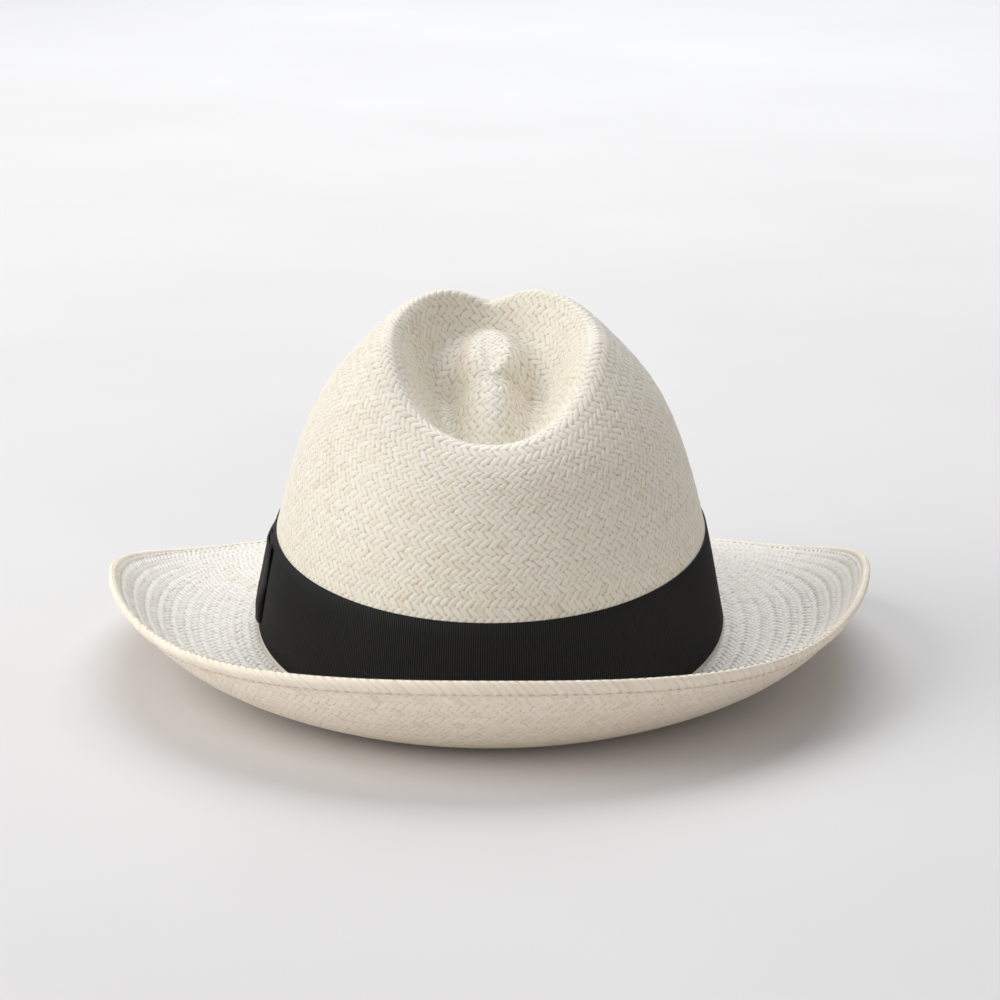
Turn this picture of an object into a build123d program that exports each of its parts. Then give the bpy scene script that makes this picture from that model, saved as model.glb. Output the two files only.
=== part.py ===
"""Panama hat: a hand-woven straw fedora with a creased crown, a curled brim and a plain ribbon band.

The hat is drawn level, in its own hat frame: local z runs up the crown's axis, the head opening's
bend is at about z = 0, azimuth 0 is the front and azimuth 90 the wearer's right. The whole hat is
then stood on a table, where it tilts back a little and rests on its front brim edge and on the
rear of its brim. World +Y is the front, +Z is up, and the origin is the middle of the hat's
footprint on the table. Millimetres.
"""
import os
from math import atan2, cos, degrees, exp, hypot, pi, radians, sin

from build123d import *

os.makedirs("parts", exist_ok=True)

# ---- Driving dimensions -------------------------------------------------------------------------
# Woven straw
straw = 1.3                      # thickness of one layer of weave
hem_width = 5.0                  # the brim's edge is folded back on itself over this width
hem_thickness = 2.4

# Each ring round the crown, from the middle of its top to the brim:
# radius to the front, the sides and the rear, then height at the front, the sides and the rear.
ridge = (33.0, 8.0, 24.0, 102.0, 92.5, 89.5)
valley = (41.0, 16.5, 44.0, 101.0, 84.5, 80.0)
wall = (46.0, 27.0, 52.0, 105.0, 97.5, 85.5)
crest = (51.0, 37.5, 59.0, 117.0, 112.0, 91.0)
brow = (61.0, 47.5, 68.0, 110.5, 105.5, 88.0)
shoulder = (84.0, 64.3, 80.0, 88.0, 84.5, 75.0)
side = (92.5, 75.1, 89.0, 60.0, 56.0, 54.0)
band_line = (96.5, 79.6, 94.5, 38.0, 38.0, 38.0)
low_side = (99.0, 83.2, 98.5, 20.0, 20.0, 20.0)
bend = (101.5, 86.5, 101.5, 2.0, 2.0, 2.0)
top_rings = (ridge, valley, wall, crest, brow, shoulder)
side_rings = (side, band_line, low_side, bend)
side_heights = (47.0, 38.0, 29.0, 20.0, 11.0, 2.0)
crown_middle = 97.0              # height of the weave's starting point, on the axis
middle_radius = 4.5              # the small tight rosette that the weave starts from
front_notch = (9.0, 14.0)        # depth of the dip in the crest at the front, half-width in degrees
pinch = (0.05, 38.0, 15.0)       # front pinches: share of the radius, azimuth, half-width in degrees

# Brim: it leaves the bend just outside it and curves steadily to its edge.
brim_start = (102.7, 87.7, 102.7)
brim_level = 0.8
brim_width = 66.0                # along the straw, front and rear
brim_side_trim = 5.7             # the sides are cut narrower by this much
# Slopes in degrees at azimuths 0, 45, 90 ... 315: where the brim starts, and at its edge.
start_slopes = (-17.0, -23.0, -5.0, 2.0, 5.0, 2.0, -5.0, -23.0)
edge_slopes = (-43.0, -3.0, 54.5, 65.0, 87.0, 66.0, 50.0, -4.5)
curl_power = 1.2                 # above 1 the curl gathers towards the edge

# Ribbon, sweatband and thread
ribbon = 0.6
clearance = 0.3                  # between layers that lie on each other
band_bottom, band_top = 2.6, 38.9
bow_bottom, bow_top = 6.5, 36.0
bow_rear, bow_front = 257.0, 303.0      # azimuths of the bow's ends, on the wearer's left
knot_rear, knot_front = 276.0, 284.0
bow_pinch = 0.32                 # share of its height that the bow loses at its knot
bow_ribbon, bow_gap = 0.4, 0.2   # its thinner ribbon, and the space between its layers
bow_stand_off = 0.6              # the bow is a little stiff, so its ends stand this far off the band
sweatband_thickness = 0.9
sweatband_bottom, sweatband_top = 3.2, 34.0
reed_radius = 0.9
thread_radius = 0.3
tack_azimuths = (153.0, 207.0)   # thread tacks that hold the band, low on each rear quarter
tack_height = 16.0

section_step = 15                # degrees between the sections that each half is lofted through
right_half = list(range(0, 181, section_step))
left_half = list(range(180, 361, section_step))


# ---- The hat's shape ----------------------------------------------------------------------------
def ring_radius(front, sides, rear, azimuth):
    """Radius of an oval whose front and rear halves differ."""
    ahead, across = cos(radians(azimuth)), sin(radians(azimuth))
    along = front if ahead > 0 else rear
    return 1 / hypot(across / sides, ahead / along)


def ring_height(front, sides, rear, azimuth):
    """Height that runs smoothly from the sides to the front and the rear."""
    ahead = cos(radians(azimuth))
    along = front if ahead > 0 else rear
    return sides + (along - sides) * ahead ** 2


def round_the_hat(values, azimuth):
    """Smooth periodic value from eight values at azimuths 0, 45, 90 ... 315."""
    turn, part = divmod((azimuth % 360) / 45, 1)
    before, start, end, after = (values[(int(turn) + step) % 8] for step in (-1, 0, 1, 2))
    leave, arrive = (end - before) / 2, (after - start) / 2
    return (start * (2 * part ** 3 - 3 * part ** 2 + 1) + leave * (part ** 3 - 2 * part ** 2 + part)
            + end * (3 * part ** 2 - 2 * part ** 3) + arrive * (part ** 3 - part ** 2))


def from_front(azimuth):
    """Degrees away from the front, 0 to 180."""
    return abs((azimuth + 180) % 360 - 180)


def crown_point(ring, azimuth):
    """Where one ring crosses one azimuth, as (radius, height)."""
    radius = ring_radius(*ring[:3], azimuth)
    height = ring_height(*ring[3:], azimuth)
    dip = front_notch[0] * exp(-(from_front(azimuth) / front_notch[1]) ** 1.4)
    if ring is crest:
        height -= dip
    if ring is brow:
        height -= dip / 2
    if ring is shoulder:
        radius *= 1 - pinch[0] * exp(-((from_front(azimuth) - pinch[1]) / pinch[2]) ** 2)
    return radius, height


def side_point(azimuth, height, outwards):
    """A point a little outside (or, if negative, inside) the crown's side at a given height."""
    known = [(ring_height(*ring[3:], azimuth), ring_radius(*ring[:3], azimuth)) for ring in side_rings]
    radius = 0.0
    for here, (level, value) in enumerate(known):
        weight = 1.0
        for there, (other, _) in enumerate(known):
            if there != here:
                weight *= (height - other) / (level - other)
        radius += weight * value
    return radius + outwards, height


def crown_line(azimuth):
    """The crown's outside from the rosette to the bend."""
    rise = (ridge[3] - crown_middle) if cos(radians(azimuth)) > 0 else (ridge[5] - crown_middle)
    start = crown_middle + rise * cos(radians(azimuth)) ** 2 * middle_radius / ridge[0]
    top = [crown_point(ring, azimuth) for ring in top_rings + (side,)]
    return [(middle_radius, start)] + top + [side_point(azimuth, height, 0) for height in side_heights]


def brim_line(azimuth, steps=8):
    """The brim's top from its start to its edge, as points and the slope at each."""
    width = brim_width - brim_side_trim * sin(radians(azimuth)) ** 2
    start = round_the_hat(start_slopes, azimuth)
    turn = round_the_hat(edge_slopes, azimuth) - start
    fine = 8
    radius, height = ring_radius(*brim_start, azimuth), brim_level
    points, slopes = [(radius, height)], [start]
    for count in range(1, steps * fine + 1):
        slope = radians(start + turn * ((count - 0.5) / (steps * fine)) ** curl_power)
        radius += cos(slope) * width / (steps * fine)
        height += sin(slope) * width / (steps * fine)
        if count % fine == 0:
            points.append((radius, height))
            slopes.append(start + turn * (count / (steps * fine)) ** curl_power)
    return points, slopes


def inset(points, distance):
    """A line moved sideways towards the head by a distance, or by one distance per point."""
    distances = distance if isinstance(distance, list) else [distance] * len(points)
    moved = []
    for index, (radius, height) in enumerate(points):
        before, after = points[max(index - 1, 0)], points[min(index + 1, len(points) - 1)]
        along_r, along_h = after[0] - before[0], after[1] - before[1]
        length = hypot(along_r, along_h)
        moved.append((radius + along_h / length * distances[index],
                      height - along_r / length * distances[index]))
    return moved


def brim_underside(azimuth):
    """The brim's underside, which steps down where the hem makes two layers."""
    points, _ = brim_line(azimuth)
    width = brim_width - brim_side_trim * sin(radians(azimuth)) ** 2
    hem_start = 1 - hem_width / width
    depths = [straw + (hem_thickness - straw) * (index / (len(points) - 1) > hem_start)
              for index in range(len(points))]
    return inset(points, depths)


# ---- How the hat stands -------------------------------------------------------------------------
def underside_points():
    """Level points (x, y, z) all over the brim's underside."""
    found = []
    for azimuth in range(0, 360, 3):
        for radius, height in brim_underside(azimuth) + brim_line(azimuth)[0]:
            found.append((radius * sin(radians(azimuth)), radius * cos(radians(azimuth)), height))
    return found


def resting_tilt(points):
    """Angle that brings the front edge and the rear of the brim down to one level."""
    tilt = 0.0
    for _ in range(12):
        heights = [(y * sin(tilt) + z * cos(tilt), y, z) for _, y, z in points]
        front = min(item for item in heights if item[1] > 0)
        rear = min(item for item in heights if item[1] < 0)
        tilt = atan2(rear[2] - front[2], front[1] - rear[1])
    return tilt


brim_points = underside_points()
tilt = resting_tilt(brim_points)
standing = [(x, y * cos(tilt) - z * sin(tilt), y * sin(tilt) + z * cos(tilt))
            for x, y, z in brim_points]
low_corner = [min(point[axis] for point in standing) for axis in range(3)]
high_corner = [max(point[axis] for point in standing) for axis in range(3)]
table_gap = 0.1                  # covers the small bulge of the underside between two sections
hat = Plane(origin=(-(low_corner[0] + high_corner[0]) / 2, -(low_corner[1] + high_corner[1]) / 2,
                    table_gap - low_corner[2]),
            x_dir=(1, 0, 0), z_dir=(0, -sin(tilt), cos(tilt)))
print(f"tilt {degrees(tilt):.2f} degrees, hat frame origin {hat.origin}")


def section_plane(azimuth):
    """Upright plane through the crown's axis: local x runs outwards and local y runs up."""
    outwards = hat.x_dir * sin(radians(azimuth)) + hat.y_dir * cos(radians(azimuth))
    return Plane(origin=hat.origin, x_dir=outwards, z_dir=outwards.cross(hat.z_dir))


# ---- Sections -----------------------------------------------------------------------------------
def straw_section(azimuth):
    """Crown and brim, cut through at one azimuth."""
    crown = crown_line(azimuth)
    crown_inside = inset(crown, straw)
    brim, _ = brim_line(azimuth)
    underside = brim_underside(azimuth)
    with BuildSketch(section_plane(azimuth)) as section:
        with BuildLine():
            Spline(*crown)
            Line(crown[-1], brim[0])
            Spline(*brim)
            Line(brim[-1], underside[-1])
            Spline(*reversed(underside))
            Line(underside[0], crown_inside[-1])
            Spline(*reversed(crown_inside))
            Line(crown_inside[0], crown[0])
        make_face()
    return section.sketch.face()


def layer_section(azimuth, bottom, top, inner, outer):
    """A layer that lies along the crown's side, cut through at one azimuth."""
    heights = [bottom, (bottom + top) / 2, top]
    inside = [side_point(azimuth, height, inner) for height in heights]
    outside = [side_point(azimuth, height, outer) for height in heights]
    with BuildSketch(section_plane(azimuth)) as section:
        with BuildLine():
            Spline(*inside)
            Line(inside[-1], outside[-1])
            Spline(*reversed(outside))
            Line(outside[0], inside[0])
        make_face()
    return section.sketch.face()


def cord_section(azimuth, place, radius, sides):
    """A thread or cord that runs round the hat, cut through at one azimuth."""
    with BuildSketch(section_plane(azimuth)) as section:
        with Locations(place):
            RegularPolygon(radius, sides)
    return section.sketch.face()


# ---- Straw --------------------------------------------------------------------------------------
front_rise = (ridge[3] - ridge[5]) / (ridge[0] + ridge[2])
with BuildPart() as straw_body:
    for half in (right_half, left_half):
        loft(sections=[straw_section(azimuth) for azimuth in half])
    rosette_up = (hat.z_dir - hat.y_dir * front_rise).normalized()
    rosette = Plane(origin=hat.from_local_coords((0, 0, crown_middle)), x_dir=(1, 0, 0),
                    z_dir=rosette_up)
    with BuildSketch(rosette.offset(0.15)):
        Circle(middle_radius + 0.6)
    extrude(amount=-straw - 0.4)
straw_body.part.label = "straw_body"
export_step(straw_body.part, "parts/straw_body.step")


def hem_seam(azimuth, lift):
    """Where the hem's seam runs: a height above the brim's top, or below it if negative."""
    points, slopes = brim_line(azimuth)
    width = brim_width - brim_side_trim * sin(radians(azimuth)) ** 2
    steps = len(points) - 1
    share = (1 - hem_width / width) * steps
    index = min(int(share), steps - 1)
    part = share - index
    radius = points[index][0] + (points[index + 1][0] - points[index][0]) * part
    height = points[index][1] + (points[index + 1][1] - points[index][1]) * part
    slope = radians(slopes[index] + (slopes[index + 1] - slopes[index]) * part)
    return radius - sin(slope) * lift, height + cos(slope) * lift


# The seam shows on both faces of the brim, as a line of thread above and one below.
with BuildPart() as hem_stitching:
    for lift in (thread_radius + 0.15, -hem_thickness - thread_radius - 0.15):
        for half in (right_half, left_half):
            loft(sections=[cord_section(azimuth, hem_seam(azimuth, lift), thread_radius, 4)
                           for azimuth in half])
hem_stitching.part.label = "hem_stitching"
export_step(hem_stitching.part, "parts/hem_stitching.step")

# ---- Ribbon band --------------------------------------------------------------------------------
band_inside = clearance
band_outside = band_inside + ribbon
with BuildPart() as hatband:
    for half in (right_half, left_half):
        loft(sections=[layer_section(azimuth, band_bottom, band_top, band_inside, band_outside)
                       for azimuth in half])
hatband.part.label = "hatband"
export_step(hatband.part, "parts/hatband.step")


def tack_plane(azimuth, height, outwards):
    """Plane on the crown's side with its normal outwards and its local y upwards."""
    radius, level = side_point(azimuth, height, outwards)
    section = section_plane(azimuth)
    place = section.from_local_coords((radius, level))
    return Plane(origin=place, x_dir=section.z_dir, z_dir=section.x_dir)


with BuildPart() as hatband_tacks:
    for azimuth in tack_azimuths:
        with BuildSketch(tack_plane(azimuth, tack_height, band_outside + 0.25)):
            SlotOverall(2.6, 0.8, rotation=18)
        extrude(amount=0.5)
hatband_tacks.part.label = "hatband_tacks"
export_step(hatband_tacks.part, "parts/hatband_tacks.step")


# ---- Flat bow -----------------------------------------------------------------------------------
def even_azimuths(start, end, count):
    """Evenly spaced azimuths from start to end."""
    return [start + (end - start) * index / (count - 1) for index in range(count)]


tail_inside = band_outside + bow_gap
tail_outside = tail_inside + bow_ribbon
loop_inside = tail_outside + bow_gap
loop_bulge = 0.6                 # the loops' hollow, at its fullest
bow_middle = (knot_rear + knot_front) / 2


def bow_share(azimuth):
    """How far from the knot's middle an azimuth is: 0 there and 1 at the bow's ends."""
    return abs(azimuth - bow_middle) / (bow_front - bow_middle)


def bow_layer(azimuth, margin, inner, outer):
    """A layer of the bow, cut through at one azimuth. The bow narrows towards its knot."""
    middle, half = (bow_top + bow_bottom) / 2, (bow_top - bow_bottom) / 2
    half = half * (1 - bow_pinch * (1 - min(bow_share(azimuth), 1)) ** 0.7) - margin
    away = bow_stand_off * bow_share(azimuth) ** 2
    return layer_section(azimuth, middle - half, middle + half, inner + away, outer + away)


with BuildPart() as bow_tail:
    loft(sections=[bow_layer(azimuth, 1, tail_inside, tail_outside)
                   for azimuth in even_azimuths(bow_rear + 2, bow_front - 2, 7)])
bow_tail.part.label = "bow_tail"
export_step(bow_tail.part, "parts/bow_tail.step")


def make_loop(name, start, end):
    """One loop of the bow: ribbon folded double, fuller towards its middle."""
    middle = (start + end) / 2
    sections = []
    for azimuth in even_azimuths(start, end, 5):
        bulge = loop_bulge * cos((azimuth - middle) / (end - start) * 0.8 * pi)
        sections.append(bow_layer(azimuth, 0, loop_inside, loop_inside + 2 * bow_ribbon + bulge))
    with BuildPart() as loop:
        loft(sections=sections)
    loop.part.label = name
    export_step(loop.part, f"parts/{name}.step")


make_loop("bow_loop_rear", bow_rear, knot_rear - 0.4)
make_loop("bow_loop_front", knot_front + 0.4, bow_front)

knot_outside = loop_inside + 2 * bow_ribbon + loop_bulge
knot_half = (bow_top - bow_bottom) / 2 * (1 - bow_pinch) + 1.5
bow_level = (bow_top + bow_bottom) / 2
with BuildPart() as bow_knot:
    loft(sections=[layer_section(azimuth, bow_level - knot_half, bow_level + knot_half,
                                 loop_inside, knot_outside)
                   for azimuth in even_azimuths(knot_rear, knot_front, 3)])
bow_knot.part.label = "bow_knot"
export_step(bow_knot.part, "parts/bow_knot.step")

with BuildPart() as bow_stitches:
    for azimuth in (knot_rear + 2, bow_middle, knot_front - 2):
        for height in (bow_level - knot_half + 2, bow_level + knot_half - 2):
            with BuildSketch(tack_plane(azimuth, height, knot_outside + 0.15)):
                SlotOverall(1.8, 0.5, rotation=90)
            extrude(amount=0.3)
bow_stitches.part.label = "bow_stitches"
export_step(bow_stitches.part, "parts/bow_stitches.step")

# ---- Sweatband ----------------------------------------------------------------------------------
sweat_outside = -straw - clearance
sweat_inside = sweat_outside - sweatband_thickness
seam_azimuth = 180.0             # the strip's ends meet at the back of the head
seam_gap = 0.4                   # degrees left open on each side of the seam
with BuildPart() as sweatband:
    ends = even_azimuths(seam_azimuth + seam_gap, seam_azimuth + 360 - seam_gap, 25)
    for half in (ends[:13], ends[12:]):
        loft(sections=[layer_section(azimuth, sweatband_bottom, sweatband_top, sweat_inside,
                                     sweat_outside) for azimuth in half])
sweatband.part.label = "sweatband"
export_step(sweatband.part, "parts/sweatband.step")

with BuildPart() as sweatband_reed:
    for half in (right_half, left_half):
        loft(sections=[cord_section(azimuth, side_point(azimuth, sweatband_bottom - reed_radius - 0.3,
                                                        sweat_inside + 0.2), reed_radius, 12)
                       for azimuth in half])
sweatband_reed.part.label = "sweatband_reed"
export_step(sweatband_reed.part, "parts/sweatband_reed.step")

with BuildPart() as sweatband_stitching:
    for half in (right_half, left_half):
        loft(sections=[cord_section(azimuth, side_point(azimuth, sweatband_bottom + 2,
                                                        sweat_inside - thread_radius - 0.15),
                                    thread_radius, 4) for azimuth in half])
sweatband_stitching.part.label = "sweatband_stitching"
export_step(sweatband_stitching.part, "parts/sweatband_stitching.step")

tape_half_width = 3.2            # degrees
with BuildPart() as sweatband_seam_tape:
    loft(sections=[layer_section(azimuth, sweatband_bottom + 4, sweatband_top - 1,
                                 sweat_inside - clearance - ribbon, sweat_inside - clearance)
                   for azimuth in even_azimuths(seam_azimuth - tape_half_width,
                                                seam_azimuth + tape_half_width, 3)])
sweatband_seam_tape.part.label = "sweatband_seam_tape"
export_step(sweatband_seam_tape.part, "parts/sweatband_seam_tape.step")
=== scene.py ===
"""Looks of the panama hat: woven straw, grosgrain ribbon, flat bow, sweatband, camera and light."""
from math import cos, pi, radians, sin

import bpy
import numpy as np
from mathutils import Matrix, Vector


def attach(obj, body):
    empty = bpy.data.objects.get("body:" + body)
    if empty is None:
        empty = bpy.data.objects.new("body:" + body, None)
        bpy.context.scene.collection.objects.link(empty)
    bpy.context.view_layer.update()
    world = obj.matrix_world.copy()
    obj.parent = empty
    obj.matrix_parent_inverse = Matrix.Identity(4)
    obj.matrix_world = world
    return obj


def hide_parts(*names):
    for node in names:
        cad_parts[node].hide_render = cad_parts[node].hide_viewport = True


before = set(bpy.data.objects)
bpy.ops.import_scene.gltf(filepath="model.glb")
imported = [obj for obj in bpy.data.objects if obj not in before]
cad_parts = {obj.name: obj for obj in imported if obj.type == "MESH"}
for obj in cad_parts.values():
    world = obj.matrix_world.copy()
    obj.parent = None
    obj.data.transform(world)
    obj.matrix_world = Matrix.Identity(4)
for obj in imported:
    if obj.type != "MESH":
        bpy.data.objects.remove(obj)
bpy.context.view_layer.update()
random = np.random.default_rng(11)
MM = 0.001

# ---- The hat's shape, in millimetres, as in the CAD ---------------------------------------------
STRAW = 1.3
HEM_WIDTH, HEM_THICKNESS = 5.0, 2.4
# Rings: radius to the front, the sides and the rear, then height at the same three places.
RIDGE = (33.0, 8.0, 24.0, 102.0, 92.5, 89.5)
VALLEY = (41.0, 16.5, 44.0, 101.0, 84.5, 80.0)
WALL = (46.0, 27.0, 52.0, 105.0, 97.5, 85.5)
CREST = (51.0, 37.5, 59.0, 117.0, 112.0, 91.0)
BROW = (61.0, 47.5, 68.0, 110.5, 105.5, 88.0)
SHOULDER = (84.0, 64.3, 80.0, 88.0, 84.5, 75.0)
SIDE = (92.5, 75.1, 89.0, 60.0, 56.0, 54.0)
BAND_LINE = (96.5, 79.6, 94.5, 38.0, 38.0, 38.0)
LOW_SIDE = (99.0, 83.2, 98.5, 20.0, 20.0, 20.0)
BEND = (101.5, 86.5, 101.5, 2.0, 2.0, 2.0)
SIDE_RINGS = (SIDE, BAND_LINE, LOW_SIDE, BEND)
SIDE_HEIGHTS = (47.0, 38.0, 29.0, 20.0, 11.0, 2.0)
CROWN_MIDDLE = 97.0
NOTCH_DEPTH, NOTCH_HALF = 9.0, 14.0        # dip at the front of the crest, half-width in degrees
PINCH_SHARE, PINCH_PLACE, PINCH_HALF = 0.05, 38.0, 15.0
BRIM_START = (102.7, 87.7, 102.7)
BRIM_LEVEL = 0.8
BRIM_WIDTH, BRIM_SIDE_TRIM = 66.0, 5.7
START_SLOPES = (-17.0, -23.0, -5.0, 2.0, 5.0, 2.0, -5.0, -23.0)
EDGE_SLOPES = (-43.0, -3.0, 54.5, 65.0, 87.0, 66.0, 50.0, -4.5)
CURL_POWER = 1.2
TABLE_GAP = 0.1
RIBBON, CLEARANCE = 0.6, 0.3
BAND_BOTTOM, BAND_TOP = 2.6, 38.9


def ring_radius(front, sides, rear, azimuth):
    """Radius of an oval whose front and rear halves differ. Azimuths are in radians here."""
    along = np.where(np.cos(azimuth) > 0, front, rear)
    return 1 / np.hypot(np.sin(azimuth) / sides, np.cos(azimuth) / along)


def ring_height(front, sides, rear, azimuth):
    """Height that runs smoothly from the sides to the front and the rear."""
    along = np.where(np.cos(azimuth) > 0, front, rear)
    return sides + (along - sides) * np.cos(azimuth) ** 2


def round_the_hat(values, azimuth):
    """Smooth periodic value from eight values at 0, 45, 90 ... 315 degrees."""
    values = np.array(values)
    turn = (azimuth % (2 * pi)) / (pi / 4)
    first = np.floor(turn).astype(int)
    part = turn - first
    before, start, end, after = (values[(first + step) % 8] for step in (-1, 0, 1, 2))
    leave, arrive = (end - before) / 2, (after - start) / 2
    return (start * (2 * part ** 3 - 3 * part ** 2 + 1) + leave * (part ** 3 - 2 * part ** 2 + part)
            + end * (3 * part ** 2 - 2 * part ** 3) + arrive * (part ** 3 - part ** 2))


def crown_stations(azimuth):
    """The crown's rings at some azimuths, as rows of radius and of height, middle to bend."""
    from_front = np.degrees(np.abs((azimuth + pi) % (2 * pi) - pi))
    dip = NOTCH_DEPTH * np.exp(-(from_front / NOTCH_HALF) ** 1.4)
    radii, heights = [np.zeros_like(azimuth)], [np.full_like(azimuth, CROWN_MIDDLE)]
    for ring in (RIDGE, VALLEY, WALL, CREST, BROW, SHOULDER, SIDE):
        radius, height = ring_radius(*ring[:3], azimuth), ring_height(*ring[3:], azimuth)
        if ring is CREST:
            height = height - dip
        if ring is BROW:
            height = height - dip / 2
        if ring is SHOULDER:
            radius = radius * (1 - PINCH_SHARE * np.exp(-((from_front - PINCH_PLACE) / PINCH_HALF) ** 2))
        radii.append(radius)
        heights.append(height)
    for level in SIDE_HEIGHTS:
        radii.append(side_radius(azimuth, level))
        heights.append(np.full_like(azimuth, level))
    return np.array(radii), np.array(heights)


def side_radius(azimuth, level):
    """Radius of the crown's side at a height, on the curve through its four lowest rings."""
    known = [(ring_height(*ring[3:], azimuth), ring_radius(*ring[:3], azimuth)) for ring in SIDE_RINGS]
    radius = 0.0
    for here, (height, value) in enumerate(known):
        for there, (other, _) in enumerate(known):
            if there != here:
                value = value * (level - other) / (height - other)
        radius = radius + value
    return radius


def spline_rows(knots, values, where):
    """Natural cubic spline through rows of values at knots, read at other places."""
    count, gap = len(knots), np.diff(knots)
    system, right = np.zeros((count, count)), np.zeros(values.shape)
    system[0, :2] = system[-1, -2:] = (2, 1)
    system[-1, -2:] = (1, 2)
    right[0] = 3 * (values[1] - values[0]) / gap[0]
    right[-1] = 3 * (values[-1] - values[-2]) / gap[-1]
    for i in range(1, count - 1):
        system[i, i - 1:i + 2] = 1 / gap[i - 1], 2 * (1 / gap[i - 1] + 1 / gap[i]), 1 / gap[i]
        right[i] = 3 * ((values[i] - values[i - 1]) / gap[i - 1] ** 2
                        + (values[i + 1] - values[i]) / gap[i] ** 2)
    slopes = np.linalg.solve(system, right)
    index = np.clip(np.searchsorted(knots, where, side="right") - 1, 0, count - 2)
    part = ((where - knots[index]) / gap[index])[:, None]
    size = gap[index][:, None]
    return (values[index] * (1 + 2 * part) * (1 - part) ** 2 + slopes[index] * size * part * (1 - part) ** 2
            + values[index + 1] * part ** 2 * (3 - 2 * part)
            - slopes[index + 1] * size * part ** 2 * (1 - part))


def brim_width(azimuth):
    """The brim's width along the straw, a little less at the sides."""
    return BRIM_WIDTH - BRIM_SIDE_TRIM * np.sin(azimuth) ** 2


def brim_rows(azimuth, shares):
    """The brim's top at some shares of its width, as rows of radius and of height."""
    fine, width = 256, brim_width(azimuth)
    start = round_the_hat(START_SLOPES, azimuth)
    turn = round_the_hat(EDGE_SLOPES, azimuth) - start
    steps = ((np.arange(fine) + 0.5) / fine)[:, None]
    slope = np.radians(start + turn * steps ** CURL_POWER)
    radius = np.vstack([np.zeros_like(width), np.cumsum(np.cos(slope), 0)]) * width / fine
    height = np.vstack([np.zeros_like(width), np.cumsum(np.sin(slope), 0)]) * width / fine
    radius = radius + ring_radius(*BRIM_START, azimuth)
    height = height + BRIM_LEVEL
    place = np.clip(np.asarray(shares) * fine, 0, fine)
    low = np.minimum(place.astype(int), fine - 1)
    part = (place - low)[:, None]
    return (radius[low] * (1 - part) + radius[low + 1] * part,
            height[low] * (1 - part) + height[low + 1] * part)


def inset(radius, height, distance):
    """Rows of points moved towards the head, or outwards if the distance is negative."""
    along_r, along_h = np.gradient(radius, axis=0), np.gradient(height, axis=0)
    length = np.hypot(along_r, along_h)
    return radius + along_h / length * distance, height - along_r / length * distance


def find_stance():
    """How the level hat tilts back onto its front edge and rear brim, and where its frame lands."""
    azimuth = np.radians(np.arange(0, 360, 3.0))
    shares = np.arange(9) / 8
    radius, height = brim_rows(azimuth, shares)
    hem = shares[:, None] > 1 - HEM_WIDTH / brim_width(azimuth)[None]
    under_r, under_h = inset(radius, height, np.where(hem, HEM_THICKNESS, STRAW))
    radius, height = np.vstack([radius, under_r]), np.vstack([height, under_h])
    x, y = (radius * np.sin(azimuth)).ravel(), (radius * np.cos(azimuth)).ravel()
    z = height.ravel()
    angle = 0.0
    for _ in range(12):
        level = y * sin(angle) + z * cos(angle)
        front = np.argmin(np.where(y > 0, level, 1e9))
        rear = np.argmin(np.where(y < 0, level, 1e9))
        angle = np.arctan2(z[rear] - z[front], y[front] - y[rear])
    along, up = y * cos(angle) - z * sin(angle), y * sin(angle) + z * cos(angle)
    return angle, (-(x.min() + x.max()) / 2, -(along.min() + along.max()) / 2,
                   TABLE_GAP - up.min())


TILT, PLACE = find_stance()


def stand(radius, height, azimuth):
    """World points in metres from level ones in millimetres."""
    across, along = radius * np.sin(azimuth), radius * np.cos(azimuth)
    return np.stack([across + PLACE[0],
                     along * cos(TILT) - height * sin(TILT) + PLACE[1],
                     along * sin(TILT) + height * cos(TILT) + PLACE[2]], -1) * MM


DENSE_STEP = radians(0.25)
DENSE = np.radians(np.arange(0, 360, 0.25)) + pi     # starts at the middle of the rear


def evenly_round(radius, height, columns):
    """Points at even steps of length round each ring, from rows at the dense azimuths."""
    azimuth = np.append(DENSE, DENSE[0] + 2 * pi)
    found = np.zeros((3, len(radius), columns))
    for row, (ring, level) in enumerate(zip(radius, height)):
        ring, level = np.append(ring, ring[0]), np.append(level, level[0])
        step = np.hypot(np.diff(ring), ring[1:] * np.diff(azimuth))
        length = np.concatenate([[0], np.cumsum(step)])
        at = np.interp(np.arange(columns) / columns * length[-1], length, azimuth)
        found[:, row] = np.interp(at, azimuth, ring), np.interp(at, azimuth, level), at
    return found


# ---- Materials ----------------------------------------------------------------------------------
def new_material(name):
    material = bpy.data.materials.new(name)
    material.use_nodes = True
    tree = material.node_tree
    return material, tree, tree.nodes["Principled BSDF"]


def add(tree, kind, settings=None, **inputs):
    """A node with its settings, and inputs given as a value or as a socket to link."""
    node = tree.nodes.new(kind)
    for name, value in (settings or {}).items():
        setattr(node, name, value)
    for name, value in inputs.items():
        key = int(name[1:]) if name[0] == "i" and name[1:].isdigit() else name.replace("_", " ")
        if isinstance(value, bpy.types.NodeSocket):
            tree.links.new(value, node.inputs[key])
        else:
            node.inputs[key].default_value = value
    return node


def attribute(tree, name, output="Fac"):
    return add(tree, "ShaderNodeAttribute", {"attribute_name": name}).outputs[output]


def object_place(tree):
    return add(tree, "ShaderNodeTexCoord").outputs["Object"]


def colour_by(tree, surface, shade):
    tree.links.new(shade, surface.inputs["Base Color"])


def bumped(tree, surface, height, strength, distance):
    bump = add(tree, "ShaderNodeBump", None, Strength=strength, Distance=distance, Height=height)
    tree.links.new(bump.outputs[0], surface.inputs["Normal"])


def mixed(tree, factor, first, second, blend="MIX"):
    """A colour mix, as its output socket."""
    node = add(tree, "ShaderNodeMix", {"data_type": "RGBA", "blend_type": blend},
               i0=factor, i6=first, i7=second)
    return node.outputs[2]


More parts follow.
